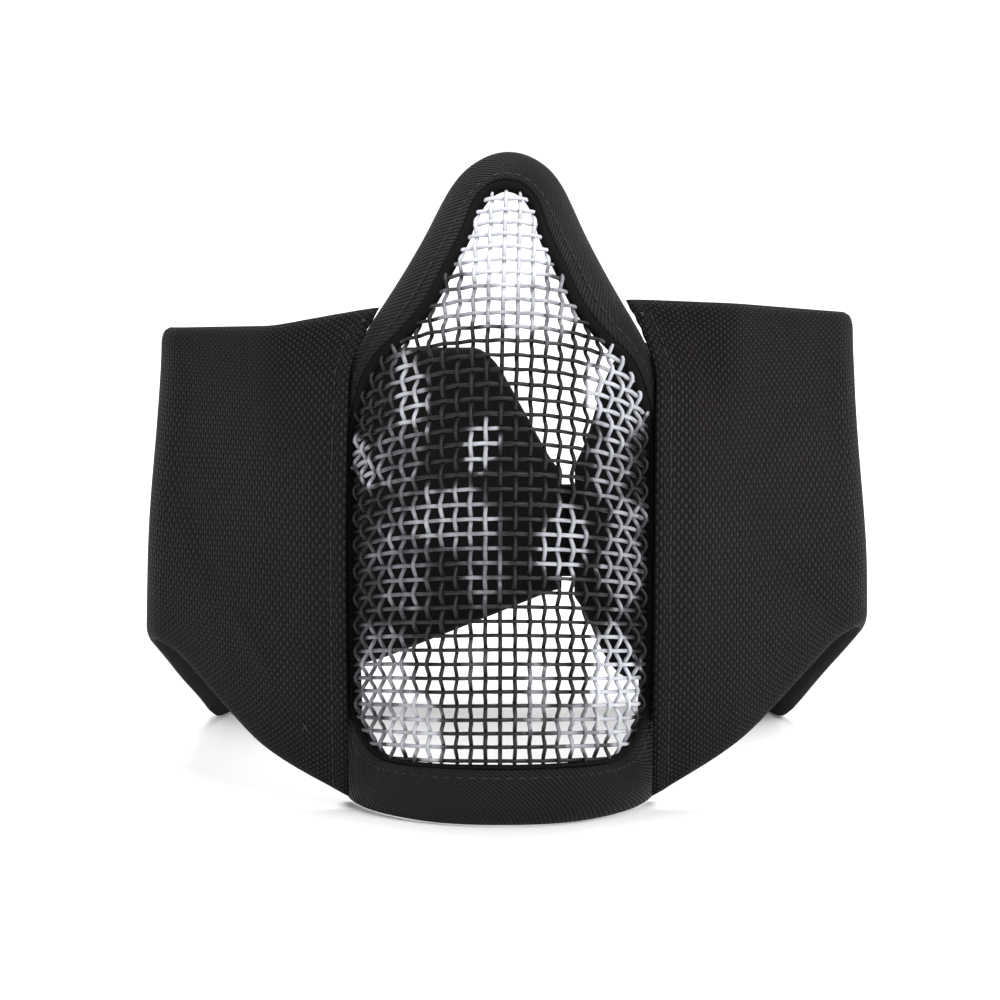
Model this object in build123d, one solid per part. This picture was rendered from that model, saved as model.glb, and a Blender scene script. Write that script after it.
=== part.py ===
from build123d import *
import math
import os

# Lower-face guard for field games: a bowed panel of woven steel wire in a folded webbing edge,
# with a padded cheek panel and ear flap on each side, joined behind the head by a hook strap.
# Millimetres, +Z up, the wearer faces -Y, and left and right are as seen from the front.
# The origin is on the surface that the guard stands on, under the middle of it.

# face panel
guard_height = 160.0      # lowest edge to the top of the nose edge
mouth_height = 72.0       # height of the panel's most forward point
nose_bow = 108.5          # profile radius above the mouth
chin_bow = 264.0          # profile radius below the mouth
bend_radius = 38.5        # radius of the panel round the jaw
nose_radius = 14.0        # the same at the top of the nose
taper_start = 127.0       # height where the panel starts to narrow to the nose
chin_tilt = 9.0           # degrees that a row of wire drops towards its ends at the chin
nose_tilt = 49.0          # and at the top of the nose
edge_angle = 73.0         # degrees that the panel wraps each way, to the edge of its webbing
wire_diameter = 0.8
wire_pitch = 3.5
layer_gap = 0.2           # between the upright and the level wires

# webbing edge folded over the wires
edge_thickness = 3.6
edge_slot = 2.4           # thickness of the slot that the wires sit in
edge_fold = 1.2           # depth of the fold outside the slot
edge_top = 110.0          # height where the side edges turn in towards the nose
edge_reach = 41.0         # beyond the panel's sides
edge_corner = 4.5
edge_low_corner = 12.0
nose_half_width = 10.5    # half of the nose edge's straight top, before its corners are rounded
nose_corner = 7.0
nose_foot_x = 23.0        # where the side of the nose turns out over the cheek
nose_foot_z = 131.5
nose_foot_radius = 30.0
chin_edge_height = 16.0
side_edge_width = 4.4     # along the surface, at the panel's sides
window_half_width = 37.5  # the same corners for the window that the wires show in
window_side_top = 103.0
window_top = 152.0
window_nose_half_width = 6.2
window_nose_corner = 4.0
window_foot_x = 19.5
window_foot_z = 123.5
window_corner = 8.0
nose_edge_end = 108.0     # height where the nose edge meets the side edges
chin_edge_end = 26.0      # height where the chin edge meets them
wire_clearance = 0.5
nose_pad_thickness = 3.2
nose_pad_lip = 2.2        # how far the nose pad shows inside the edge
seam_tape_thickness = 0.7
seam_tape_width = 9.0

# padded panels
cover_thickness = 0.6
foam_thickness = 3.0
foam_inset = 2.5          # from the cover's edges to the foam's
lining_thickness = 0.6
seam_angle = 63.0         # where on the bent panel the cheek panel is sewn
body_gap = 0.3            # between pieces that move against each other
fold_half_width = 90.2    # where the cheek's and the side's straight runs would meet
fold_depth = 66.0         # the same, back from the panel's most forward point
fold_radius = 14.0
rear_half_width = 72.0
rear_depth = 153.0
rear_radius = 30.0
station_step = 6.0        # length of a flat piece of a panel
cheek_top_seam = 125.5    # heights of the panels' edges
cheek_top_fold = 116.0
cheek_low_seam = 2.7
cheek_low_middle = 15.8
cheek_low_knee = 36.0
cheek_low_fold = 38.5
left_sag = 3.2            # how much lower the left fold hangs
ear_top_rear = 98.5
lobe_run = 70.0           # from the fold back to the middle of the ear flap's foot
lobe_foot = 10.0
left_rear_low = 12.0
left_middle_low = 25.0
right_rear_low = 7.0
tail_tip_top = 62.0
tail_tip_low = 32.0
left_tail_end = 17.0      # x of the ear flaps' ends
right_tail_end = 20.5
left_taper_start = -3.0   # x where the left flap starts to narrow
flap_turn = 32.0          # x where the rear corners end and the low edges change slope

# closure on the outside of the rear run
strap_width = 26.0
strap_thickness = 1.5
strap_start = -30.0
strap_hinge = 8.0         # x where the sewn part ends and the strap peels off
strap_end = 44.0
hook_thickness = 0.8
hook_start = 22.5
loop_thickness = 1.0
loop_end = 45.5
patch_margin = 1.5        # patches narrower than the strap, each side
tab_length = 12.0
tab_overlap = 7.0         # sewn length of the pull tab
tab_thickness = 1.2
tab_width = 18.0
patch_corner = 2.0

# how finely the curved shapes are drawn
shell_rows = 24           # straight-sided rows that the bowed panel is lofted through
shell_margin = 8.0        # how far it runs on below the lowest edge, to be trimmed
row_step = 0.25           # steps that the level wires' heights are found in
angle_step = 0.5          # degrees, for the ends of the level wires
wire_knot_step = 5        # millimetres of height between the bends of an upright wire
knee_margin = 4.0         # from the end of the cheek's straight run to the knee in its low edge
far = 400.0               # beyond the object on every side


# the bowed wire surface
def profile_y(z):
    """How far the middle of the panel stands behind its most forward point."""
    rise = z - mouth_height
    bow = nose_bow if rise > 0 else chin_bow
    return bow - math.sqrt(bow**2 - rise**2)


def row_radius(z):
    share = max(0.0, (z - taper_start) / (guard_height - taper_start))
    return bend_radius + (nose_radius - bend_radius) * share


def row_tilt(z):
    return math.radians(chin_tilt + (nose_tilt - chin_tilt) * (z / guard_height) ** 2)


def surface_point(z, angle, offset=0.0):
    """A point on the row whose middle is at height z, turned round the jaw by an angle in radians."""
    radius, tilt = row_radius(z), row_tilt(z)
    inward = Vector(0, math.cos(tilt), -math.sin(tilt))
    centre = Vector(0, profile_y(z), z) + inward * radius
    out = radius + offset
    return centre + Vector(out * math.sin(angle), 0, 0) - inward * (out * math.cos(angle))


def row_arc(z, angle, offset):
    return ThreePointArc(*[surface_point(z, turn, offset) for turn in (-angle, 0, angle)])


def bowed_shell(outer, inner, short=0.0):
    """The panel's surface as a solid between two offsets from the middle of the wires.

    short is how far along the surface its sides end before the webbing's.
    """
    angle = math.radians(edge_angle) - short / bend_radius
    sections = []
    for row in range(shell_rows):
        z = -shell_margin + (guard_height + shell_margin + edge_thickness) * row / (shell_rows - 1)
        front, back = row_arc(z, angle, outer), row_arc(z, angle, inner)
        sections.append(make_face([front, Line(front @ 1, back @ 1), back, Line(back @ 0, front @ 0)]))
    return Solid(loft(sections, ruled=True).wrapped)


# outlines in X and Z, seen from the front
def outline(crown, low, low_corner):
    """A closed outline from its right half's corners, each (x, z, radius), from the top down."""
    half = crown + [(crown[-1][0], low, low_corner)]
    around = half + [(-x, z, radius) for x, z, radius in reversed(half)]
    corners = [(x, z) for x, z, _ in around]
    return make_face(FilletPolyline(*corners, radius=[radius for _, _, radius in around], close=True))


def guard_outline():
    crown = [(nose_half_width, guard_height, nose_corner), (nose_foot_x, nose_foot_z, nose_foot_radius),
             (edge_reach, edge_top, edge_corner)]
    return outline(crown, 0.0, edge_low_corner)


def window_outline():
    crown = [(window_nose_half_width, window_top, window_nose_corner),
             (window_foot_x, window_foot_z, nose_foot_radius), (window_half_width, window_side_top, window_corner)]
    return outline(crown, chin_edge_height, window_corner)


def prism(face):
    """An outline carried right through the object along Y."""
    return extrude(Plane.XZ * face, far, both=True)


def slab(low, high):
    return Pos(0, 0, (low + high) / 2) * Box(far, far, high - low)


# wires
wire_margin = edge_fold + wire_diameter / 2 + wire_clearance
wire_angle = math.radians(edge_angle) - wire_margin / bend_radius


def row_heights():
    """Middle heights of the level wires, one pitch apart along the profile."""
    heights, run = [], 0.0
    for count in range(int(guard_height / row_step)):
        z = count * row_step
        run += math.hypot(row_step, profile_y(z + row_step) - profile_y(z))
        if run >= wire_pitch:
            heights.append(z)
            run -= wire_pitch
    return heights


def within(region, point):
    return region.is_inside(Vector(point.X, point.Z, 0))


def wire_along(path):
    section = Plane(origin=path @ 0, z_dir=path % 0) * Circle(wire_diameter / 2)
    return sweep(section, path=path, transition=Transition.RIGHT)


def level_wires(region):
    wires = []
    for z in row_heights():
        angle = wire_angle
        while angle > 0 and not within(region, surface_point(z, angle)):
            angle -= math.radians(angle_step)
        if angle * row_radius(z) > wire_pitch and within(region, surface_point(z, 0)):
            wires.append(wire_along(row_arc(z, angle, (wire_diameter + layer_gap) / 2)))
    return wires


def upright_wires(region):
    offset = -(wire_diameter + layer_gap) / 2
    columns = int(bend_radius * wire_angle / wire_pitch)
    wires = []
    for column in range(-columns, columns + 1):
        points = []
        for z in range(1, int(guard_height)):
            angle = column * wire_pitch / row_radius(z)
            point = surface_point(z, angle, offset)
            if abs(angle) <= wire_angle and within(region, point):
                points.append(point)
        if len(points) > 2 * wire_knot_step:
            knots = points[:-wire_knot_step // 2:wire_knot_step] + points[-1:]
            wires.append(wire_along(Polyline(*knots)))
    return wires


# webbing edge, pad and tapes round the wires
def opening(inset):
    """The window as a thick solid that follows the panel, drawn in by an inset on all its sides."""
    shell = bowed_shell(edge_thickness, -edge_thickness, side_edge_width + inset)
    return shell & prism(offset(window_outline(), -inset))


def edge_band():
    half, slot_half = edge_thickness / 2, edge_slot / 2
    ring = (bowed_shell(half, -half) & prism(guard_outline())) - opening(0.0)
    slot = bowed_shell(slot_half, -slot_half, edge_fold) & prism(offset(guard_outline(), -edge_fold))
    return ring - (slot - opening(edge_fold))


def nose_pad():
    half = edge_thickness / 2
    shell = bowed_shell(-half, -half - nose_pad_thickness) & prism(offset(guard_outline(), -edge_fold))
    pad = shell - prism(offset(window_outline(), -nose_pad_lip))
    return pad & slab(nose_edge_end, guard_height)


def seam_tape(side):
    half = edge_thickness / 2
    shell = bowed_shell(-half, -half - seam_tape_thickness, edge_fold)
    tape = shell - bowed_shell(0.0, -2 * edge_thickness, edge_fold + seam_tape_width)
    tape &= slab(chin_edge_end, nose_edge_end)
    return tape & Pos(side * far / 2, 0, 0) * Box(far, far, far)


# padded panels, built on one line in plan and mirrored for the left side
panel_half = foam_thickness / 2 + cover_thickness
seam_reach = bend_radius + edge_thickness / 2 + body_gap + panel_half
seam_turn = math.radians(seam_angle)
seam_x = seam_reach * math.sin(seam_turn)
seam_y = bend_radius - seam_reach * math.cos(seam_turn)
panel_line = FilletPolyline((seam_x, seam_y), (fold_half_width, fold_depth), (rear_half_width, rear_depth),
                            (-rear_half_width, rear_depth), radius=[fold_radius, rear_radius])
panel_edges = panel_line.edges().sort_by_distance((seam_x, seam_y, 0))
fold_run = panel_edges[0].length + panel_edges[1].length / 2
knee_run = panel_edges[0].length - knee_margin


def rear_run(x):
    """Length of the line from the seam to a point x on its straight rear run."""
    return panel_line.length - (rear_half_width + x)


def height_at(run, knots):
    """Height between two (run, height) knots, by straight lines."""
    for (start, low), (end, high) in zip(knots, knots[1:]):
        if run <= end:
            return low + (high - low) * (run - start) / (end - start)
    return knots[-1][1]


def panel_section(run, inner, outer, low, high):
    point = panel_line.position_at(run, position_mode=PositionMode.LENGTH)
    along = panel_line.tangent_at(run, position_mode=PositionMode.LENGTH)
    out = Vector(along.Y, -along.X, 0)
    inside, outside = point + out * inner, point + out * outer
    corners = [inside + Vector(0, 0, low), outside + Vector(0, 0, low),
               outside + Vector(0, 0, high), inside + Vector(0, 0, high)]
    return make_face(Polyline(*corners, close=True))


def stations(start, end, knots):
    """Where the flat pieces of a panel meet: the same runs for all its layers."""
    first, last = start + foam_inset, end - foam_inset
    count = math.ceil((last - first) / station_step)
    runs = {first + (last - first) * step / count for step in range(count + 1)}
    runs |= {run for run, _ in knots if all(abs(run - other) > foam_inset / 2 for other in runs)}
    return sorted({run for run in runs if first <= run <= last} | {start, end})


def panel_layer(start, end, layer, low_knots, high_knots):
    """One layer of a panel: a wall of flat pieces along the line, with its own edge heights."""
    inner, outer, inset = layer
    inside = [run for run in stations(start, end, low_knots + high_knots) if start + inset <= run <= end - inset]
    sections = [panel_section(run, inner, outer, height_at(run, low_knots) + inset,
                              height_at(run, high_knots) - inset) for run in inside]
    return Solid(loft(sections, ruled=True).wrapped)


layers = {
    "cover": (foam_thickness / 2, panel_half, 0.0),
    "foam": (-foam_thickness / 2, foam_thickness / 2, foam_inset),
    "lining": (-foam_thickness / 2 - lining_thickness, -foam_thickness / 2, 0.0),
}


def cheek_knots(sag):
    top = [(0, cheek_top_seam), (fold_run, cheek_top_fold - sag)]
    low = [(0, cheek_low_seam), (knee_run / 2, cheek_low_middle - sag / 2),
           (knee_run, cheek_low_knee - sag), (fold_run, cheek_low_fold - sag)]
    return low, top


def ear_knots(sag, tail_end, taper_start_x, rear_lows):
    """Edge heights of an ear flap; its x values are mirrored for the left flap."""
    lobe = fold_run + lobe_run
    end = rear_run(tail_end)
    top = [(fold_run, cheek_top_fold - sag), (rear_run(flap_turn), ear_top_rear),
           (rear_run(taper_start_x), ear_top_rear), (end, tail_tip_top)]
    low = [(fold_run, cheek_low_fold - sag), (lobe - lobe_foot / 2, 0), (lobe + lobe_foot / 2, 0)]
    low += [(rear_run(x), z) for x, z in rear_lows] + [(end, tail_tip_low)]
    return low, top


def mirrored(solid, side):
    return solid if side > 0 else mirror(solid, about=Plane.YZ)


# flat pieces of the closure, on the outside of the rear run
strap_z = (tail_tip_top + tail_tip_low) / 2
cover_face = rear_depth + panel_half
strap_face = cover_face + loop_thickness + body_gap + hook_thickness


def patch(start, end, inner, thickness, width):
    """A rounded rectangle of cloth between two x values, its inner face at depth inner."""
    shape = Plane.XZ * RectangleRounded(end - start, width, patch_corner)
    return Pos((start + end) / 2, inner + thickness, strap_z) * extrude(shape, thickness)


def as_list(shape):
    return shape if isinstance(shape, list) else list(shape.solids())


nodes = {}
wire_region = offset(guard_outline(), -wire_margin)
nodes["level_wires"] = level_wires(wire_region)
nodes["upright_wires"] = upright_wires(wire_region)

band = edge_band()
sides = band & slab(chin_edge_end, nose_edge_end)
nodes["nose_edge"] = band & slab(nose_edge_end, far / 2)
nodes["chin_edge"] = band & slab(-far / 2, chin_edge_end)
nodes["nose_pad"] = nose_pad()
for name, side in {"left": -1, "right": 1}.items():
    nodes[f"{name}_side_edge"] = sides & Pos(side * far / 2, 0, 0) * Box(far, far, far)
    nodes[f"{name}_seam_tape"] = seam_tape(side)

flaps = {
    "left": (-1, left_sag, -left_tail_end, -left_taper_start, [(flap_turn, left_rear_low), (0, left_middle_low)]),
    "right": (1, 0.0, right_tail_end, flap_turn - 1, [(flap_turn - 1, right_rear_low)]),
}
for name, (side, sag, tail_end, taper_start_x, rear_lows) in flaps.items():
    for layer_name, layer in layers.items():
        cheek = panel_layer(0, fold_run - body_gap / 2, layer, *cheek_knots(sag))
        ear = panel_layer(fold_run + body_gap / 2, rear_run(tail_end), layer,
                          *ear_knots(sag, tail_end, taper_start_x, rear_lows))
        nodes[f"{name}_cheek_{layer_name}"] = mirrored(cheek, side)
        nodes[f"{name}_ear_{layer_name}"] = mirrored(ear, side)

patch_width = strap_width - 2 * patch_margin
hinge_gap = body_gap / 2
nodes["strap_backing"] = patch(strap_start, strap_hinge - hinge_gap, cover_face, strap_face - cover_face, patch_width)
nodes["strap_base"] = patch(strap_start, strap_hinge - hinge_gap, strap_face, strap_thickness, strap_width)
nodes["strap"] = patch(strap_hinge + hinge_gap, strap_end, strap_face, strap_thickness, strap_width)
nodes["hook_patch"] = patch(hook_start, strap_end - patch_margin, strap_face - hook_thickness, hook_thickness,
                            patch_width)
nodes["loop_patch"] = patch(hook_start, loop_end, cover_face, loop_thickness, patch_width)
nodes["pull_tab"] = patch(strap_end - tab_overlap, strap_end + tab_length - tab_overlap,
                          strap_face + strap_thickness, tab_thickness, tab_width)

# stand it on z = 0 with the origin under the middle of its outline
boxes = [solid.bounding_box() for shape in nodes.values() for solid in as_list(shape)]
low = [min(getattr(box.min, side) for box in boxes) for side in "XYZ"]
high = [max(getattr(box.max, side) for box in boxes) for side in "XYZ"]
shift = Vector(-(low[0] + high[0]) / 2, -(low[1] + high[1]) / 2, -low[2])
os.makedirs("parts", exist_ok=True)
for name, shape in nodes.items():
    moved = [Pos(shift) * solid for solid in as_list(shape)]
    export_step(moved[0] if len(moved) == 1 else Compound(moved), f"parts/{name}.step")

print("shift", shift)
for name, x, y in [("seam", seam_x, seam_y), ("strap", strap_hinge, strap_face + strap_thickness)]:
    print(name, "hinge", Vector(x, y) + shift)
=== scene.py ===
import bisect
import math
import random

import bmesh
import bpy
from mathutils import Matrix, Vector, noise


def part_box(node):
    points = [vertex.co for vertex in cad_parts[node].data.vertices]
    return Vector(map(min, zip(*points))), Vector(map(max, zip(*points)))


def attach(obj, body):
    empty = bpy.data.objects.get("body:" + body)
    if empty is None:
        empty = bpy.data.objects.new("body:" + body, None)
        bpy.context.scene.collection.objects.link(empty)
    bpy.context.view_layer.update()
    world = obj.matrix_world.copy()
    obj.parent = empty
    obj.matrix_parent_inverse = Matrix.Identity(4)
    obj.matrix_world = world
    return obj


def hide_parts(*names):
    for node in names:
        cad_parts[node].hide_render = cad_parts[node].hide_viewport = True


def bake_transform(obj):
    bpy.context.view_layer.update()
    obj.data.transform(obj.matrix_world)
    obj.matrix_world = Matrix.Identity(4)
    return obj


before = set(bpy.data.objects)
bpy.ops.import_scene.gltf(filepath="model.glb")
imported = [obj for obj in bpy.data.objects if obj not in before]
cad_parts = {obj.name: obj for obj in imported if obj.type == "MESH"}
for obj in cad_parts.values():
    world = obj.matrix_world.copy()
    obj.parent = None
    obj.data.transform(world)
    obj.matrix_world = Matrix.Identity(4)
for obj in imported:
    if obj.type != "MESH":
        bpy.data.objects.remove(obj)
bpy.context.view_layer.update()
mm = 0.001
dice = random.Random(11)
noise.seed_set(11)  # so that every run gives the same cloth
print("frame loaded,", len(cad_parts), "nodes")

# the bowed face panel, in the frame's metres
panel = {
    "front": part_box("level_wires")[0].y + 0.9 * mm,  # most forward line of the wires' middle
    "top": 160 * mm,
    "mouth": 72 * mm,       # height of that line
    "noseBow": 108.5 * mm,
    "chinBow": 264 * mm,
    "radius": 38.5 * mm,
    "noseRadius": 14 * mm,
    "taper": 114 * mm,
    "chinTilt": 9,
    "noseTilt": 49,
    "edgeAngle": math.radians(73),
    "noseLean": 1.9 * mm,   # the nose sits a little to one side
}


def smooth(t):
    t = max(0.0, min(1.0, t))
    return t * t * (3 - 2 * t)


def panelDepth(row):
    rise = row - panel["mouth"]
    bow = panel["noseBow"] if rise > 0 else panel["chinBow"]
    return bow - math.sqrt(bow * bow - rise * rise)


def panelRadius(row):
    share = smooth((row - panel["taper"]) / (panel["top"] - panel["taper"]))
    return panel["radius"] + (panel["noseRadius"] - panel["radius"]) * share


def panelTilt(row):
    rise = (row / panel["top"]) ** 2
    return math.radians(panel["chinTilt"] + (panel["noseTilt"] - panel["chinTilt"]) * rise)


def noseLean(row):
    return panel["noseLean"] * max(0.0, (row - panel["mouth"]) / (panel["top"] - panel["mouth"])) ** 2


def panelPoint(row, angle, lift=0.0):
    # row is the height where the row crosses the middle, angle runs round the jaw
    radius, tilt = panelRadius(row), panelTilt(row)
    across = (radius + lift) * math.cos(angle) - radius
    return Vector(((radius + lift) * math.sin(angle) + noseLean(row),
                   panel["front"] + panelDepth(row) - across * math.cos(tilt),
                   row + across * math.sin(tilt)))


def panelFind(x, z):
    # the row and angle of a place given as it looks from the front
    row, angle = z, 0.0
    for _ in range(40):
        radius = panelRadius(row)
        limit = math.sin(panel["edgeAngle"])
        angle = math.asin(max(-limit, min(limit, x / radius)))
        row += (z + radius * (1 - math.cos(angle)) * math.sin(panelTilt(row)) - row) * 0.6
    return row, angle


# shared helpers
def linkPiece(name, mesh, body=None, material=None):
    piece = bpy.data.objects.new(name, mesh)
    bpy.context.scene.collection.objects.link(piece)
    for face in mesh.polygons:
        face.use_smooth = True
    if material:
        mesh.materials.append(material)
    if body:
        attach(piece, body)
    return piece


def finishPiece(name, shape, body, material):
    mesh = bpy.data.meshes.new(name)
    shape.to_mesh(mesh)
    shape.free()
    return linkPiece(name, mesh, body, material)


def gridShape(columns, rows, place, lay, split=False):
    # a grid whose points are moved to place(u, v), with its cloth map in metres from lay(u, v)
    shape = bmesh.new()
    bmesh.ops.create_grid(shape, x_segments=columns, y_segments=rows, size=0.5)
    cloth = shape.loops.layers.uv.new("cloth")
    for face in shape.faces:
        face.material_index = 1 if split and face.calc_center_median().y > 0 else 0
        for corner in face.loops:
            corner[cloth].uv = lay(corner.vert.co.x + 0.5, corner.vert.co.y + 0.5)
    for vert in shape.verts:
        vert.co = place(vert.co.x + 0.5, vert.co.y + 0.5)
    return shape


def gridPiece(name, columns, rows, place, lay, body=None, material=None):
    return finishPiece(name, gridShape(columns, rows, place, lay), body, material)


def closedPiece(name, columns, around, place, lay, material, body=None, inner=None):
    # a closed skin: v goes once round it, open ends are capped, inner is the material of its second half
    shape = gridShape(columns, around, place, lay, split=inner is not None)
    bmesh.ops.remove_doubles(shape, verts=shape.verts, dist=0.02 * mm)
    rims = [edge for edge in shape.edges if edge.is_boundary]
    bmesh.ops.holes_fill(shape, edges=rims, sides=0)
    for edge in rims:
        edge.smooth = False
    bmesh.ops.recalc_face_normals(shape, faces=shape.faces)
    piece = finishPiece(name, shape, body, material)
    if inner:
        piece.data.materials.append(inner)
    return piece


def thicken(piece, thickness, offset=0.0, levels=1):
    wall = piece.modifiers.new("wall", "SOLIDIFY")
    wall.thickness = thickness
    wall.offset = offset
    wall.use_even_offset = True
    if levels:
        rounder = piece.modifiers.new("rounder", "SUBSURF")
        rounder.levels = rounder.render_levels = levels
    return wall


def loopThrough(knots, at):
    # a smooth value between the knots of a closed loop, numbered from 0
    low = math.floor(at)
    t = at - low
    near = [knots[(low + step) % len(knots)] for step in (-1, 0, 1, 2)]
    return tuple(0.5 * (2 * b + (c - a) * t + (2 * a - 5 * b + 4 * c - d) * t ** 2
                        + (3 * b - a - 3 * c + d) * t ** 3) for a, b, c, d in zip(*near))


# materials
def newMaterial(name):
    material = bpy.data.materials.new(name)
    material.use_nodes = True
    nodes = material.node_tree.nodes
    return material, nodes, material.node_tree.links, nodes["Principled BSDF"]


def newGroup(name, inputs, outputs):
    group = bpy.data.node_groups.new(name, "ShaderNodeTree")
    for label, kind, value in inputs:
        socket = group.interface.new_socket(name=label, in_out="INPUT", socket_type=kind)
        if value is not None:
            socket.default_value = value
    for label, kind in outputs:
        group.interface.new_socket(name=label, in_out="OUTPUT", socket_type=kind)
    return group, group.nodes.new("NodeGroupInput"), group.nodes.new("NodeGroupOutput")


def mathNode(group, kind, first, second=None, third=None):
    # a Math node in a group or a material's tree, fed by sockets or by fixed numbers
    node = group.nodes.new("ShaderNodeMath")
    node.operation = kind
    for socket, value in zip(node.inputs, (first, second, third)):
        if value is None:
            continue
        if isinstance(value, bpy.types.NodeSocket):
            group.links.new(value, socket)
        else:
            socket.default_value = value
    return node.outputs[0]


def ribWave(group, turn, count=1.0):
    # rounded ribs, one for each whole step of turn
    wave = mathNode(group, "SINE", mathNode(group, "MULTIPLY", turn, math.pi * count))
    return mathNode(group, "ABSOLUTE", wave)


def weaveGroup():
    # plain cloth: threads over and under, the pattern in metres on the cloth map
    group, given, out = newGroup(
        "plainWeave",
        [("Cloth", "NodeSocketVector", None), ("Pitch", "NodeSocketFloat", 1.0),
         ("Wobble", "NodeSocketFloat", 0.12)],
        [("Height", "NodeSocketFloat"), ("Warp", "NodeSocketFloat")])
    scaled = group.nodes.new("ShaderNodeVectorMath")
    scaled.operation = "SCALE"
    group.links.new(given.outputs["Cloth"], scaled.inputs[0])
    group.links.new(mathNode(group, "DIVIDE", 1.0, given.outputs["Pitch"]), scaled.inputs["Scale"])
    waver = group.nodes.new("ShaderNodeTexNoise")
    waver.inputs["Scale"].default_value = 0.35
    waver.inputs["Detail"].default_value = 2
    group.links.new(scaled.outputs[0], waver.inputs["Vector"])
    sway = mathNode(group, "SUBTRACT", waver.outputs["Fac"], 0.5)
    shift = mathNode(group, "MULTIPLY", sway, given.outputs["Wobble"])
    split = group.nodes.new("ShaderNodeSeparateXYZ")
    group.links.new(scaled.outputs[0], split.inputs[0])
    across = mathNode(group, "ADD", split.outputs[0], shift)
    along = mathNode(group, "ADD", split.outputs[1], shift)
    strands = []
    for main, other, half in ((across, along, -0.5), (along, across, 0.5)):
        crown = ribWave(group, main)
        turn = mathNode(group, "ADD", mathNode(group, "ADD", other, mathNode(group, "FLOOR", main)), half)
        dive = mathNode(group, "COSINE", mathNode(group, "MULTIPLY", turn, math.pi))
        raised = mathNode(group, "MULTIPLY_ADD", dive, 0.5, 0.5)
        strands.append(mathNode(group, "MULTIPLY", mathNode(group, "POWER", crown, 0.6), raised))
    group.links.new(mathNode(group, "MAXIMUM", *strands), out.inputs["Height"])
    group.links.new(strands[0], out.inputs["Warp"])
    return group


def twillGroup():
    # webbing: ribs that slant across the tape, broken by finer beads that slant the other way
    group, given, out = newGroup(
        "twillRibs",
        [("Cloth", "NodeSocketVector", None), ("Pitch", "NodeSocketFloat", 1.0),
         ("Slant", "NodeSocketFloat", 1.0)],
        [("Height", "NodeSocketFloat")])
    split = group.nodes.new("ShaderNodeSeparateXYZ")
    group.links.new(given.outputs["Cloth"], split.inputs[0])
    slanted = mathNode(group, "MULTIPLY", split.outputs[1], given.outputs["Slant"])
    ribTurn = mathNode(group, "ADD", split.outputs[0], slanted)
    beadTurn = mathNode(group, "SUBTRACT", slanted, split.outputs[0])
    rib = ribWave(group, mathNode(group, "DIVIDE", ribTurn, given.outputs["Pitch"]))
    bead = ribWave(group, mathNode(group, "DIVIDE", beadTurn, given.outputs["Pitch"]), 1.3)
    height = mathNode(group, "MULTIPLY_ADD", bead, 0.25, mathNode(group, "MULTIPLY", rib, 0.75))
    group.links.new(height, out.inputs["Height"])
    return group


def wearGroup():
    # soft blotches and a fine grain that every cloth shares
    group, given, out = newGroup(
        "clothWear",
        [("Place", "NodeSocketVector", None), ("Blotch", "NodeSocketFloat", 40.0)],
        [("Patch", "NodeSocketFloat"), ("Grain", "NodeSocketFloat")])
    for label, detail in (("Patch", 4), ("Grain", 2)):
        speck = group.nodes.new("ShaderNodeTexNoise")
        speck.inputs["Scale"].default_value = 1400
        speck.inputs["Detail"].default_value = detail
        group.links.new(given.outputs["Place"], speck.inputs["Vector"])
        group.links.new(speck.outputs["Fac"], out.inputs[label])
        if label == "Patch":
            group.links.new(given.outputs["Blotch"], speck.inputs["Scale"])
    return group


groups = {"weave": weaveGroup(), "twill": twillGroup(), "wear": wearGroup()}


def toneRamp(nodes, stops):
    # a colour ramp with its stops given as place and colour
    ramp = nodes.new("ShaderNodeValToRGB")
    elements = ramp.color_ramp.elements
    for spot, (position, colour) in zip((elements[0], elements[1]), (stops[0], stops[-1])):
        spot.position, spot.color = position, (*colour, 1)
    for position, colour in stops[1:-1]:
        elements.new(position).color = (*colour, 1)
    return ramp


def rangeNode(nodes, low, high):
    spread = nodes.new("ShaderNodeMapRange")
    spread.inputs["To Min"].default_value, spread.inputs["To Max"].default_value = low, high
    return spread


def bumpNode(nodes, distance, strength):
    bump = nodes.new("ShaderNodeBump")
    bump.inputs["Distance"].default_value, bump.inputs["Strength"].default_value = distance, strength
    return bump


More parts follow.
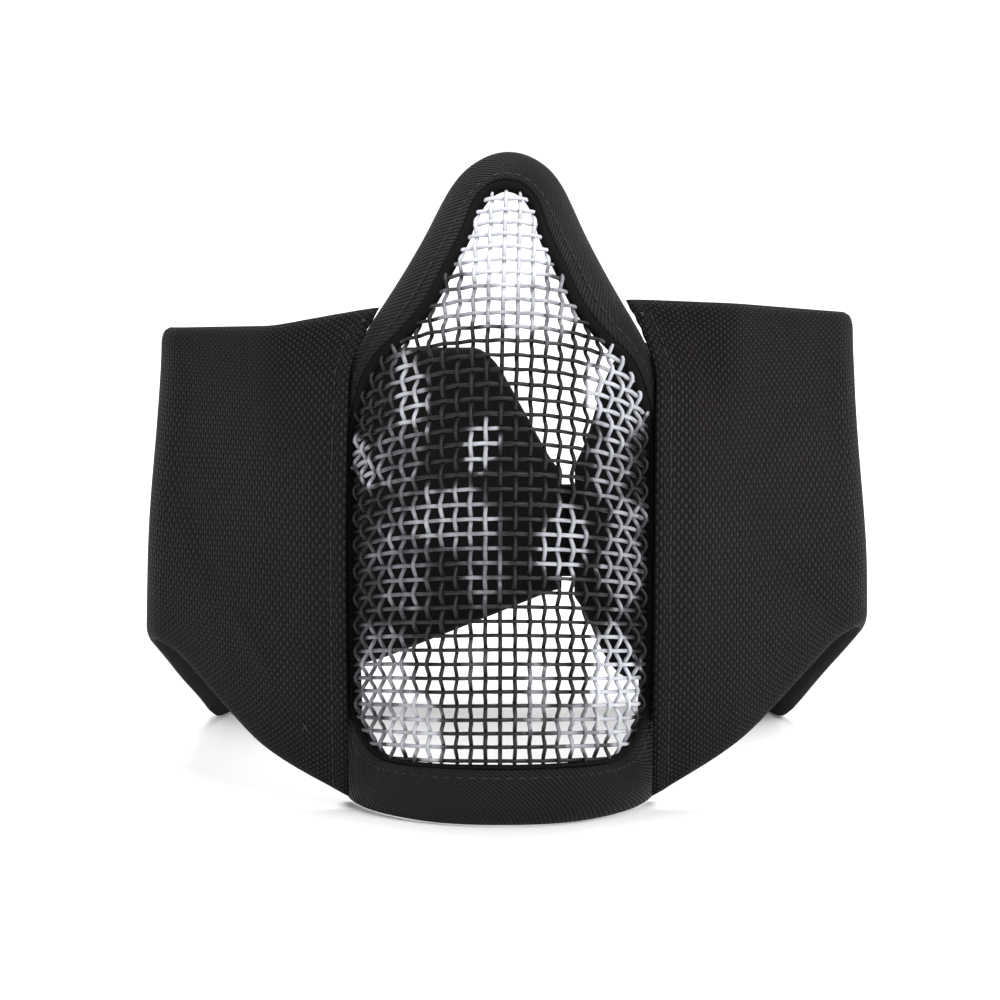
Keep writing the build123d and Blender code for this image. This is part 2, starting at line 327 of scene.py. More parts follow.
def clothMaterial(name, pattern, settings):
    # black cloth or webbing: the thread pattern drives colour, roughness and bump
    material, nodes, links, shader = newMaterial(name)
    chart = nodes.new("ShaderNodeUVMap")
    chart.uv_map = "cloth"
    place = nodes.new("ShaderNodeTexCoord")
    thread = nodes.new("ShaderNodeGroup")
    thread.node_tree = groups[pattern]
    links.new(chart.outputs[0], thread.inputs["Cloth"])
    for label, value in settings["pattern"].items():
        thread.inputs[label].default_value = value
    wear = nodes.new("ShaderNodeGroup")
    wear.node_tree = groups["wear"]
    wear.inputs["Blotch"].default_value = 45.0
    links.new(place.outputs["Object"], wear.inputs["Place"])
    # painted shade and painted highlight: the colour runs from the valley colour where the threads sink to the
    # crown colour on the raised threads
    tone = toneRamp(nodes, [(0.15, settings["valley"]), (0.95, settings["crown"])])
    links.new(thread.outputs["Warp" if pattern == "weave" else "Height"], tone.inputs["Fac"])
    worn = nodes.new("ShaderNodeMix")
    worn.data_type, worn.blend_type = "RGBA", "MULTIPLY"
    worn.inputs["Factor"].default_value = 1.0
    low, high = settings.get("patchRange", (0.8, 1.2))
    patch = toneRamp(nodes, [(0.3, (low,) * 3), (0.7, (high,) * 3)])
    links.new(wear.outputs["Patch"], patch.inputs["Fac"])
    links.new(tone.outputs["Color"], worn.inputs["A"])
    links.new(patch.outputs["Color"], worn.inputs["B"])
    links.new(worn.outputs["Result"], shader.inputs["Base Color"])
    rough = rangeNode(nodes, *settings["rough"])
    links.new(thread.outputs["Height"], rough.inputs["Value"])
    links.new(rough.outputs["Result"], shader.inputs["Roughness"])
    relief = mathNode(material.node_tree, "MULTIPLY_ADD", wear.outputs["Grain"], 0.25,
                      thread.outputs["Height"])
    bump = bumpNode(nodes, settings["relief"], 0.9)
    links.new(relief, bump.inputs["Height"])
    links.new(bump.outputs["Normal"], shader.inputs["Normal"])
    shader.inputs["Sheen Weight"].default_value = settings["sheen"]
    shader.inputs["Sheen Roughness"].default_value = 0.45
    shader.inputs["Specular IOR Level"].default_value = settings["gloss"]
    return material


def paintedWire():
    # thick camouflage paint on steel wire, its tone kept in the mesh's "paint" attribute
    material, nodes, links, shader = newMaterial("camoPaint")
    tone = nodes.new("ShaderNodeAttribute")
    tone.attribute_name = "paint"
    place = nodes.new("ShaderNodeTexCoord")
    mottle = nodes.new("ShaderNodeTexNoise")
    mottle.inputs["Scale"].default_value = 900
    mottle.inputs["Detail"].default_value = 3
    links.new(place.outputs["Object"], mottle.inputs["Vector"])
    spread = mathNode(material.node_tree, "MULTIPLY_ADD", mottle.outputs["Fac"], 0.22, tone.outputs["Fac"])
    ramp = toneRamp(nodes, [(0.12, (0.0035, 0.0035, 0.004)), (0.45, (0.045, 0.045, 0.052)),
                            (0.92, (0.52, 0.53, 0.58))])
    links.new(mathNode(material.node_tree, "SUBTRACT", spread, 0.11), ramp.inputs["Fac"])
    links.new(ramp.outputs["Color"], shader.inputs["Base Color"])
    bump = bumpNode(nodes, 0.12 * mm, 0.6)
    links.new(mottle.outputs["Fac"], bump.inputs["Height"])
    links.new(bump.outputs["Normal"], shader.inputs["Normal"])
    shine = rangeNode(nodes, 0.35, 0.6)
    links.new(mottle.outputs["Fac"], shine.inputs["Value"])
    links.new(shine.outputs["Result"], shader.inputs["Roughness"])
    shader.inputs["Specular IOR Level"].default_value = 0.3
    return material


# each cloth's valley colour is painted shade between its threads and its crown colour is a painted highlight on
# them
oxfordCloth = clothMaterial("oxfordCloth", "weave", {
    "pattern": {"Pitch": 0.98 * mm, "Wobble": 0.3}, "valley": (0.0016, 0.0013, 0.0013),
    "crown": (0.0185, 0.015, 0.0152), "rough": (0.9, 0.6), "relief": 0.5 * mm, "sheen": 0.0, "gloss": 0.12,
    "patchRange": (0.85, 1.15)})
liningCloth = clothMaterial("liningCloth", "weave", {
    "pattern": {"Pitch": 0.42 * mm, "Wobble": 0.4}, "valley": (0.001, 0.001, 0.001),
    "crown": (0.006, 0.0056, 0.006), "rough": (0.95, 0.75), "relief": 0.15 * mm, "sheen": 0.0, "gloss": 0.15})
webbing = clothMaterial("webbing", "twill", {
    "pattern": {"Pitch": 1.15 * mm, "Slant": 1.4}, "valley": (0.0006, 0.0005, 0.0005),
    "crown": (0.0062, 0.005, 0.005), "rough": (0.85, 0.5), "relief": 0.55 * mm, "sheen": 0.0, "gloss": 0.16})
padCloth = clothMaterial("padCloth", "weave", {
    "pattern": {"Pitch": 0.3 * mm, "Wobble": 0.5}, "valley": (0.001, 0.001, 0.001),
    "crown": (0.004, 0.004, 0.004), "rough": (0.95, 0.8), "relief": 0.06 * mm, "sheen": 0.0, "gloss": 0.12})
loopCloth = clothMaterial("loopCloth", "weave", {
    "pattern": {"Pitch": 0.5 * mm, "Wobble": 2.5}, "valley": (0.004, 0.004, 0.004),
    "crown": (0.02, 0.02, 0.02), "rough": (1.0, 0.9), "relief": 0.35 * mm, "sheen": 0.35, "gloss": 0.1})
sewingThread = clothMaterial("sewingThread", "twill", {
    "pattern": {"Pitch": 0.3 * mm, "Slant": 1.0}, "valley": (0.006, 0.006, 0.006),
    "crown": (0.008, 0.007, 0.007), "rough": (0.6, 0.4), "relief": 0.05 * mm, "sheen": 0.0, "gloss": 0.4})
camoPaint = paintedWire()
print("materials made:", len(bpy.data.materials))

# woven wire of the face panel
wire = {
    "pitch": 3.5 * mm,
    "radius": 0.5 * mm,
    "uprightCrimp": 0.8 * mm,
    "levelCrimp": 0.24 * mm,
    "stray": 0.16 * mm,     # how far a wire wanders off its line
    "perCell": 6,           # points along a wire for each pitch
    "shortest": 6,          # a wire of this many points or fewer is left out
    "endAt": 0.45,          # where the wires end, as a share of the webbing's width
}

# paint patches as seen from the front, in mm: x, z, half width, half height, turn, tone
camoPatches = [
    (1, 142, 15, 16, 0.0, 0.9), (-7, 126, 10, 7, 0.5, 0.62), (4, 124, 8, 7, 0.2, 0.7),
    (15, 126, 4, 10, -0.3, 0.6), (-21.5, 104, 5.5, 9, 0.1, 0.72), (-24, 90, 5, 12, 0.0, 0.5),
    (-4.5, 93, 4, 6, 0.0, 0.72), (-33, 86, 3, 6, 0.0, 0.7), (-12, 75, 11, 8, 0.2, 0.62),
    (-24, 64, 8, 14, 0.0, 0.5), (-4, 66, 6, 11, 0.0, 0.52), (14, 70, 6, 9, 0.0, 0.7),
    (29, 104, 8, 13, -0.1, 0.78), (26, 86, 5, 10, 0.0, 0.6), (29, 66, 6, 16, 0.0, 0.6),
    (-28, 36, 8, 13, 0.0, 0.55), (-20, 24, 7, 9, 0.2, 0.72), (-31, 22, 5, 8, 0.0, 0.5),
    (8.5, 34, 4, 10, 0.0, 0.55), (27, 34, 6, 17, 0.0, 0.8), (20, 24, 7, 7, 0.0, 0.6),
    (-6, 42, 4, 5, 0.0, 0.4),
]


def paintAt(place):
    # the paint's tone at a place on a wire, 0 black to 1 pale, with ragged edges to its patches
    x = place.x / mm + 3.4 * noise.noise(place * 140) + 1.6 * noise.noise(place * 430)
    z = place.z / mm + 3.4 * noise.noise(place * 140 + Vector((7, 3, 1)))
    z += 1.6 * noise.noise(place * 400 + Vector((2, 5, 9)))
    tone = 0.03 + 0.1 * noise.noise(place * 90)
    for patchX, patchZ, wide, tall, turn, value in camoPatches:
        across = (x - patchX) * math.cos(turn) + (z - patchZ) * math.sin(turn)
        up = (z - patchZ) * math.cos(turn) - (x - patchX) * math.sin(turn)
        reach = math.hypot(across / wide, up / tall)
        tone = max(tone, value * smooth((1.35 - reach) / 0.6))
    return tone + 0.14 * noise.noise(place * 260)


def rowHeights():
    # the level wires, one pitch apart along the bowed profile
    rows, run, row, step = [], 0.0, 0.0, 0.1 * mm
    while row < panel["top"] + 4 * mm:
        run += math.hypot(step, panelDepth(row + step) - panelDepth(row))
        row += step
        if run >= wire["pitch"]:
            rows.append(row)
            run -= wire["pitch"]
    return rows


# outlines of the webbing and of its window in mm, the right half from the nose round to the chin
rimKnots = [(0, 158.3), (5.8, 156.8), (11.0, 152.4), (14.6, 145.6), (18.9, 137), (23.4, 130), (28.6, 124.6),
            (34.2, 120.5), (45, 113), (45, 92), (45, 58), (45, 28), (45, 9), (37.4, 1.2), (20, 0.3), (0, 0.4)]
windowKnots = [(0, 151.6), (4.2, 150.2), (7.3, 146.4), (10, 139.6), (13.4, 133), (17.8, 124.6),
               (23.4, 117.4), (29.4, 111), (33, 103), (35.4, 90), (35.4, 58), (35.3, 30), (34, 22.4),
               (30, 16.4), (23, 14.6), (0, 15)]
chinKnot = len(rimKnots) - 1


def wholeLoop(knots):
    half = [panelFind(x * mm, z * mm) for x, z in knots]
    return half + [(row, -angle) for row, angle in reversed(half[1:-1])]


rimLoop, windowLoop = wholeLoop(rimKnots), wholeLoop(windowKnots)


def edgePlace(at, across, lift):
    # at counts the knots from the nose, less than 0 on the left; across is 0 at the rim and 1 at the window
    rim, window = loopThrough(rimLoop, at), loopThrough(windowLoop, at)
    row = rim[0] + (window[0] - rim[0]) * across
    angle = rim[1] + (window[1] - rim[1]) * across
    return panelPoint(row, angle, lift)


# lengths along the webbing's middle, from the chin round to the chin, with the knot count at each
knotStep = 0.05
stepCount = round(2 * chinKnot / knotStep)
edgeRuns = [(0.0, -float(chinKnot))]
for step in range(1, stepCount + 1):
    last, at = -chinKnot + (step - 1) * knotStep, -chinKnot + step * knotStep
    edgeRuns.append((edgeRuns[-1][0] + (edgePlace(at, 0.5, 0) - edgePlace(last, 0.5, 0)).length, at))
wholeRun = edgeRuns[-1][0]


def edgeRun(at):
    return edgeRuns[max(0, min(stepCount, round((at + chinKnot) / knotStep)))][0]


def edgeAt(run):
    run %= wholeRun
    spot = min(stepCount, bisect.bisect_left(edgeRuns, run, key=lambda entry: entry[0]))
    if spot == 0:
        return edgeRuns[0][1]
    (low, first), (high, last) = edgeRuns[spot - 1], edgeRuns[spot]
    return first + (last - first) * (run - low) / max(1e-9, high - low)


# where the wires end, inside the webbing: a closed outline as it looks from the front
wireEnds = []
for step in range(2 * chinKnot * 8):
    place = edgePlace(step / 8 - chinKnot, wire["endAt"], 0)
    wireEnds.append((place.x, place.z))


def holdsWire(place):
    # inside the outline, by the number of its sides that lie to the right
    inside = False
    for (x1, z1), (x2, z2) in zip(wireEnds, wireEnds[1:] + wireEnds[:1]):
        if (z1 > place.z) != (z2 > place.z) and place.x < x1 + (x2 - x1) * (place.z - z1) / (z2 - z1):
            inside = not inside
    return inside


rowList = rowHeights()


def rowAt(count):
    # the height at a count of pitches from the lowest level wire
    low = max(0, min(len(rowList) - 2, math.floor(count)))
    return rowList[low] + (rowList[low + 1] - rowList[low]) * (count - low)


def wirePlace(across, count, over):
    # across is in pitches from the middle, over is how far the wire waves out of the panel
    row = rowAt(count)
    angle = across * wire["pitch"] / panelRadius(row)
    if abs(angle) > panel["edgeAngle"]:
        return None
    place = panelPoint(row, angle, over)
    return place + noise.noise_vector(place * 55) * wire["stray"]


def weaveWires(name, paths, node):
    bend = bpy.data.curves.new(name + "Line", "CURVE")
    bend.dimensions = "3D"
    bend.bevel_depth = wire["radius"]
    bend.bevel_resolution = 1
    bend.use_fill_caps = True
    for places in paths:
        strand = bend.splines.new("POLY")
        strand.points.add(len(places) - 1)
        for point, place in zip(strand.points, places):
            point.co = (*place, 1)
            point.radius = 1 + 0.12 * noise.noise(place * 700)
    holder = bpy.data.objects.new(name + "Line", bend)
    bpy.context.scene.collection.objects.link(holder)
    mesh = bpy.data.meshes.new_from_object(holder)
    mesh.name = name
    bpy.data.objects.remove(holder)
    bpy.data.curves.remove(bend)
    tone = mesh.attributes.new("paint", "FLOAT", "POINT")
    for point, vert in zip(tone.data, mesh.vertices):
        point.value = paintAt(vert.co)
    mesh.materials.clear()
    piece = linkPiece(name, mesh, "face_guard", camoPaint)
    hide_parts(node)


def bandRuns(places):
    # the stretches of a wire that the webbing holds or that show in the window
    runs, run = [], []
    for place in places:
        if place and holdsWire(place):
            run.append(place)
        else:
            runs.append(run)
            run = []
    return [run for run in runs + [run] if len(run) > wire["shortest"]]


columnCount = int(panel["radius"] * panel["edgeAngle"] / wire["pitch"])
cells = wire["perCell"]
levelPaths, uprightPaths = [], []
for row in range(len(rowList)):
    places = []
    for step in range(-columnCount * cells, columnCount * cells + 1):
        across = step / cells
        places.append(wirePlace(across, row, -wire["levelCrimp"] * math.cos(math.pi * (across + row))))
    levelPaths += bandRuns(places)
for column in range(-columnCount, columnCount + 1):
    places = []
    for step in range(len(rowList) * cells):
        count = step / cells
        places.append(wirePlace(column, count, wire["uprightCrimp"] * math.cos(math.pi * (column + count))))
    uprightPaths += bandRuns(places)
weaveWires("woven_level_wires", levelPaths, "level_wires")
weaveWires("woven_upright_wires", uprightPaths, "upright_wires")
print("wires woven:", len(levelPaths), "level,", len(uprightPaths), "upright")

# webbing folded over the edge of the panel
band = {
    "wall": 0.8 * mm,
    "half": 1.4 * mm,       # from the wires to the middle of each leg of the tape
    "puff": 0.32 * mm,      # how far the front leg swells between its fold and its stitches
    "hem": 0.3,             # share of that swell past the stitches
    "stitchAt": 0.84,       # places across the webbing, as in edgePlace
    "foldAt": 0.2,
    "leg": 0.43,            # share of the tape in each leg
    "tape": 20 * mm,        # width of the tape laid flat
    "cell": 1.3 * mm,
    "cross": 20,
    "sideFrom": 8.0,        # knots where the side webbing starts and ends
    "sideTo": 11.3,
}


def bandSection(v):
    # across the folded tape: front leg, fold, back leg
    leg, half, fold = band["leg"], band["half"], band["foldAt"]
    if leg < v < 1 - leg:
        swing = math.pi / 2 - math.pi * (v - leg) / (1 - 2 * leg)
        return fold - fold * math.cos(swing), half * math.sin(swing)
    across = 1 - (1 - fold) * (v if v <= leg else 1 - v) / leg
    puff = band["hem"]
    if across < band["stitchAt"]:
        puff = math.sin(math.pi * (across - fold) / (band["stitchAt"] - fold))
    return across, half + band["puff"] * puff if v <= leg else -half


def bandStretch(first, last):
    # where a stretch of the webbing starts, and its length, going round from knot first to knot last
    return edgeRun(first), (edgeRun(last) - edgeRun(first)) % wholeRun


def foldedBand(name, first, last, node):
    start, length = bandStretch(first, last)

    def place(u, v):
        across, lift = bandSection(v)
        spot = edgePlace(edgeAt(start + length * u), across, lift)
        return spot + noise.noise_vector(spot * 45) * 0.25 * mm

    def lay(u, v):
        return start + length * u, (v - band["leg"] / 2) * band["tape"]

    piece = gridPiece(name, int(length / band["cell"]), band["cross"], place, lay, "face_guard", webbing)
    thicken(piece, band["wall"])
    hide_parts(node)


foldedBand("nose_webbing", -band["sideFrom"], band["sideFrom"], "nose_edge")
foldedBand("right_side_webbing", band["sideFrom"], band["sideTo"], "right_side_edge")
foldedBand("chin_webbing", band["sideTo"], -band["sideTo"], "chin_edge")
foldedBand("left_side_webbing", -band["sideTo"], -band["sideFrom"], "left_side_edge")


# dark rolled lip inside the webbing, all round the window
lip = {
    "width": 1.6 * mm,      # at the nose
    "thinWidth": 0.8 * mm,  # past knot thinFrom
    "thinFrom": 9.5,
    "thinOver": 2.5,        # knots that it takes to get there
    "height": 1.55 * mm,
    "along": 360,
    "around": 12,
}


def lipPlace(u, v):
    at = edgeAt(wholeRun * u)
    full = smooth((lip["thinFrom"] - abs(at)) / lip["thinOver"])
    wide = lip["thinWidth"] + (lip["width"] - lip["thinWidth"]) * full
    edge, inner = edgePlace(at, 1.0, 0), edgePlace(at, 1.3, 0)
    inward = (inner - edge).normalized()
    out = (edgePlace(at, 1.0, 1 * mm) - edge).normalized()
    swing = 2 * math.pi * v
    spot = edge + inward * (wide * (0.3 + math.cos(swing))) + out * (lip["height"] * math.sin(swing))
    return spot + noise.noise_vector(spot * 60) * 0.2 * mm


rolledLip = closedPiece("window_rolled_lip", lip["along"], lip["around"], lipPlace,
                        lambda u, v: (wholeRun * u, v * 6 * mm), padCloth, "face_guard")

# soft pad behind the nose edge
nosePad = {
    "first": -7.4,          # knots where it starts and ends
    "last": 7.4,
    "thick": 3.0 * mm,
    "middle": 0.6,          # places across the webbing, as in edgePlace
    "inner": 0.94,
    "along": 150,
    "around": 20,
}


def nosePadPlace(u, v):
    at = nosePad["first"] + (nosePad["last"] - nosePad["first"]) * u
    swing = 2 * math.pi * v
    ends = math.sqrt(max(0.0, 1 - (2 * u - 1) ** 16))
    across = nosePad["middle"] + (nosePad["inner"] - nosePad["middle"]) * math.cos(swing)
    bulge = math.copysign(abs(math.sin(swing)) ** 0.6, math.sin(swing)) * ends
    lift = -band["half"] - band["wall"] / 2 - nosePad["thick"] / 2 * (1 - bulge)
    spot = edgePlace(at, across, lift)
    return spot + noise.noise_vector(spot * 70) * 0.2 * mm


softNosePad = closedPiece("nose_soft_pad", nosePad["along"], nosePad["around"], nosePadPlace,
                          lambda u, v: (200 * mm * u, v * 22 * mm), padCloth, "face_guard")
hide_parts("nose_pad")
print("webbing edge, lip and pad made")

# padded side panels, one line in plan for both sides; runs along it and heights are in mm
wingPlan = {
    "seamAngle": math.radians(63),
    "seamLift": 4.2 * mm,
    "corners": [(90.2, 66), (72, 153), (-72, 153)],
    "radii": [14, 30],
    "fold": 69.38,          # run from the seam to the side fold
    "knee": 58.07,          # and to the corner in the cheek panel's low edge
    "lobe": 70,             # run from the fold to the middle of the ear flap's foot
    "foot": 5,              # half of the foot's length
    "cheekLow": [2.7, 15.8, 36, 38.5],  # low edge at the seam, half way to the knee, the knee and the fold
    "earTop": 98.5,
    "tip": (32, 62),        # low and high end of the flap's tip
    "thick": 2.1 * mm,      # half of the panel's thickness
    "round": 4,             # how far in from an edge it is full
    "cell": 2 * mm,
    "rows": 52,
}
# the front edge of the cheek panels, which hugs the webbing
hem = {
    "thick": 0.85 * mm,     # half of its thickness
    "stitchAt": 4.4,        # run from the edge to the stitches
    "groove": 0.25 * mm,
    "swell": 7,             # run from the stitches to the full thickness
    "hug": 27,              # run over which the hug fades out
    "hugAngle": math.radians(62.5),
    "hugLift": 3.0 * mm,
    "hugRow": 156 * mm,     # the last row of the face panel that it follows
    "leanRise": 9 * mm,     # a row of wire is this much higher at its middle than at the hem
    "leanShare": 1.25,
}
wings = {
    "left": {"side": -1, "sag": 3.2, "tail": -17, "taper": 3, "rearLow": [(32, 12), (0, 25)],
             "cheekTop": [(0, 122.6), (24, 117.4), (wingPlan["fold"], 113.6)], "lean": (-6.2, -1.2)},
    "right": {"side": 1, "sag": 0, "tail": 20.5, "taper": 31, "rearLow": [(31, 7)],
              "cheekTop": [(0, 124.2), (24, 122.9), (wingPlan["fold"], 117.4)], "lean": (-2.7, 2.2)},
}


def planLine():
    # places every half millimetre along the panels, in mm across and back from the face panel's front
    reach = panel["radius"] / mm + wingPlan["seamLift"] / mm
    turn = wingPlan["seamAngle"]
    places = [Vector((reach * math.sin(turn), panel["radius"] / mm - reach * math.cos(turn)))]
    corners = [places[0]] + [Vector(corner) for corner in wingPlan["corners"]]
    for before, corner, after, radius in zip(corners, corners[1:], corners[2:], wingPlan["radii"]):
        arrive, leave = (corner - before).normalized(), (after - corner).normalized()
        bend = arrive.angle(leave)
        first = corner - arrive * radius * math.tan(bend / 2)
        addRun(places, first)
        centre = first + Vector((-arrive.y, arrive.x)) * radius
        spoke, count = first - centre, int(radius * bend / 0.5)
        for step in range(1, count + 1):
            swing = bend * step / count
            places.append(centre + Vector((spoke.x * math.cos(swing) - spoke.y * math.sin(swing),
                                           spoke.x * math.sin(swing) + spoke.y * math.cos(swing))))
    addRun(places, corners[-1])
    return places


def addRun(places, end):
    start, count = places[-1].copy(), max(1, int((end - places[-1]).length / 0.5))
    for step in range(1, count + 1):
        places.append(start.lerp(end, step / count))


planPlaces = planLine()
planRuns = [0.0]
for here, there in zip(planPlaces, planPlaces[1:]):
    planRuns.append(planRuns[-1] + (there - here).length)


def planAt(run):
    # run in mm; gives the place and the outward direction
    spot = max(1, min(len(planRuns) - 1, bisect.bisect_left(planRuns, run)))
    share = (run - planRuns[spot - 1]) / (planRuns[spot] - planRuns[spot - 1])
    place = planPlaces[spot - 1].lerp(planPlaces[spot], share)
    along = (planPlaces[min(len(planPlaces) - 1, spot + 2)] - planPlaces[max(0, spot - 3)]).normalized()
    return place, Vector((along.y, -along.x))


foldRun, kneeRun, lobeRun = wingPlan["fold"], wingPlan["knee"], wingPlan["fold"] + wingPlan["lobe"]


def rearRun(x):
    # the run where the rear line is at x, which is positive on the wing's own side
    return planRuns[-1] + wingPlan["corners"][-1][0] - x


for wing in wings.values():
    low, sag, end = wingPlan["cheekLow"], wing["sag"], rearRun(wing["tail"])
    earTop, (tipLow, tipTop) = wingPlan["earTop"], wingPlan["tip"]
    wing["end"] = end
    wing["top"] = wing["cheekTop"] + [(rearRun(32), earTop), (rearRun(wing["taper"]), earTop), (end, tipTop)]
    wing["low"] = [(0, low[0]), (kneeRun / 2, low[1] - sag / 2), (kneeRun, low[2] - sag),
                   (foldRun, low[3] - sag), (lobeRun - wingPlan["foot"], 0), (lobeRun + wingPlan["foot"], 0)]
    wing["low"] += [(rearRun(x), z) for x, z in wing["rearLow"]] + [(end, tipLow)]


def heightAt(run, knots, soften=4.0):
    # the height of an outline at a run, averaged over 7 places to round its corners
    total = 0.0
    for step in range(-3, 4):
        at = max(knots[0][0], min(knots[-1][0], run + step * soften / 3))
        for (start, low), (end, high) in zip(knots, knots[1:]):
            if at <= end:
                total += low + (high - low) * (at - start) / (end - start)
                break
    return total / 7


def hugPanel(height):
    # how far the front edge moves to follow the bowed panel at this height, in mm
    row = height * mm
    for _ in range(40):
        rise = panelPoint(row, hem["hugAngle"], hem["hugLift"]).z - height * mm
        row = min(row - rise * 0.5, hem["hugRow"])
    place = panelPoint(row, hem["hugAngle"], hem["hugLift"])
    return Vector((place.x - panelPoint(row, 0).x, place.y - panel["front"])) / mm - planPlaces[0]


hugs = [hugPanel(height) for height in range(131)]
# soft folds and dents: run, height, half sizes, turn, depth
wrinkles = {
    "left": [(12, 112, 9, 3, 0.9, -0.7), (48, 60, 22, 3.5, 1.0, -0.5), (30, 40, 16, 3, 0.7, 0.5),
             (58, 90, 4, 24, 0.1, -0.4)],
    "right": [(15, 112, 6, 9, 0.25, -1.5), (48, 50, 18, 3, -0.75, -0.9), (38, 84, 26, 4, 0.5, 0.4),
              (60, 92, 4, 20, 0.15, -0.5)],
}


def wingPlace(name, run, height, lift):
    # a place on the panel or at a lift off it; the side fold leans and the front edge hugs the webbing
    wing = wings[name]
    place, outward = planAt(run)
    near = 1 - smooth(run / hem["hug"])
    hug = hugs[max(0, min(len(hugs) - 1, round(height)))] * near
    follow = noseLean(height * mm + hem["leanRise"]) * hem["leanShare"] * near
    leanTop, leanLow = wing["lean"]
    lean = leanLow + (leanTop - leanLow) * smooth((height - 38) / 78)
    lean *= math.exp(-((run - foldRun) / 40) ** 2)
    ripple = 0.55 * noise.noise(Vector((run / 26, height / 30, wing["side"] * 5))) * smooth(run / 12)
    for atRun, atHeight, wide, tall, turn, depth in wrinkles[name]:
        across = (run - atRun) * math.cos(turn) + (height - atHeight) * math.sin(turn)
        up = (height - atHeight) * math.cos(turn) - (run - atRun) * math.sin(turn)
        ripple += depth * math.exp(-(across / wide) ** 2 - (up / tall) ** 2)
    flat = place + hug + outward * (lift / mm + ripple) + Vector((lean, 0))
    return Vector((wing["side"] * flat.x * mm + follow, panel["front"] + flat.y * mm, height * mm))


def roundEdge(share):
    # height of a rounded edge, at a share of the way in from it
    return math.sqrt(max(0.0, 1 - (1 - min(1.0, share)) ** 2))


def wingThickness(wing, run, height, low, top):
    # half of the thickness: rounded at the edges, thin at the hem, with a groove at its stitches
    full = wingPlan["thick"] * roundEdge(max(0.0, min(height - low, top - height, wing["end"] - run))
                                         / wingPlan["round"])
    past = run - hem["stitchAt"]
    front = hem["thick"] * roundEdge(run / 1.2) - hem["groove"] * math.exp(-(past / 0.7) ** 2)
    front += (wingPlan["thick"] - hem["thick"]) * smooth(past / hem["swell"])
    return min(full, max(0.0, front))


def wingPiece(name, part, first, last, bodies, turnFrom, turnTo):
    # up the outside for v to 0.5 and down the inside after it, from run first to run last
    wing = wings[name]

    def spanAt(u, v):
        run = first + (last - first) * u
        return run, heightAt(run, wing["low"]), heightAt(run, wing["top"]), 2 * v if v <= 0.5 else 2 - 2 * v

    def place(u, v):
        run, low, top, share = spanAt(u, v)
        closer = 0.5 - 0.5 * math.cos(math.pi * share)  # rows close up towards both edges
        height = low + (top - low) * (0.45 * share + 0.55 * closer)
        half = wingThickness(wing, run, height, low, top)
        return wingPlace(name, run, height, half if v <= 0.5 else -half)

    def lay(u, v):
        run, low, top, share = spanAt(u, v)
        return (wing["side"] * run * mm, (low + (top - low) * share) * mm)

    columns = int((last - first) * mm / wingPlan["cell"])
    piece = closedPiece(f"{name}_{part}_panel", columns, 2 * wingPlan["rows"], place, lay, oxfordCloth,
                        inner=liningCloth)
    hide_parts(*[f"{name}_{part}_{layer}" for layer in ("cover", "foam", "lining")])
    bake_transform(piece)


def turnPlace(name, run, height=70):
    return tuple(wingPlace(name, run, height, 0))


# runs between which the cloth would turn with each fold, handed to wingPiece, which does not read them
cheekTurn, earTurn = (6, 30), (foldRun, foldRun + 16)
for name in wings:
    wingPiece(name, "cheek", 0, foldRun, ("face_guard", name + "_cheek"),
              *[turnPlace(name, run) for run in cheekTurn])
    wingPiece(name, "ear", foldRun, wings[name]["end"], (name + "_cheek", name + "_ear"),
              *[turnPlace(name, run) for run in earTurn])
print("padded side panels made")

# tapes that cover the side seams inside, from the webbing's back leg over to the cheek panel's lining
innerTape = {
    "wall": 0.5 * mm,
    "width": 14 * mm,
    "inBy": 0.85,           # where it starts across the webbing, as in edgePlace
    "outBy": 0.1,
    "reach": 7.5,           # run to its other edge, on the lining
    "clear": 0.35 * mm,
}


def seamTape(name, wing):
    start = edgeRun(band["sideFrom"]) if wing["side"] > 0 else edgeRun(-band["sideTo"])
    length = edgeRun(band["sideTo"]) - edgeRun(band["sideFrom"])

    def place(u, v):
        across = max(innerTape["outBy"], innerTape["inBy"] * (1 - 2 * v))
        depth = band["half"] + band["wall"] / 2 + innerTape["clear"]
        onWebbing = edgePlace(edgeAt(start + length * u), across, -depth)
        height, run = onWebbing.z / mm, innerTape["reach"]
        half = wingThickness(wing, run, height, 0, 130) + innerTape["clear"]
        return onWebbing.lerp(wingPlace(name, run, height, -half), smooth(2 * v - 1))

    def lay(u, v):
        return u * length, (v - 0.5) * innerTape["width"]

    tape = gridPiece(name + "_inner_tape", 60, 12, place, lay, "face_guard", webbing)
    thicken(tape, innerTape["wall"])
    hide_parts(name + "_seam_tape")


for name, wing in wings.items():
    seamTape(name, wing)

# closure behind the head: flat tapes where the frame has them, with material, body and slot
closure = {
    "strap_backing": (webbing, "left_ear", "webbing"), "strap_base": (webbing, "left_ear", "webbing"),
    "strap": (webbing, "closure", "webbing"), "hook_patch": (loopCloth, "closure", "hook_cloth"),
    "loop_patch": (loopCloth, "right_ear", "loop_cloth"), "pull_tab": (webbing, "closure", "webbing"),
}


def flatTape(node, material, body, slot):
    low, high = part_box(node)
    size, middle = high - low, (low + high) / 2

    def place(u, v):
        x, z = low.x + size.x * u, low.z + size.z * v
        return Vector((x, middle.y + 0.1 * mm * noise.noise(Vector((x, 0, z)) * 120), z))

    piece = gridPiece("sewn_" + node, max(4, int(size.x / (1.2 * mm))), 18, place,
                      lambda u, v: (u * size.x, (v - 0.5) * size.z), body, material)
    thicken(piece, size.y * 0.96)
    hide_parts(node)


for node, (material, body, slot) in closure.items():
    flatTape(node, material, body, slot)
print("closure made")


# sewn thread: spacing of the needle holes and half sizes of a stitch
thread = {"bandPitch": 2.6 * mm, "hemPitch": 2.7, "linePitch": 2.4 * mm, "wide": 0.22 * mm, "tall": 0.2 * mm}


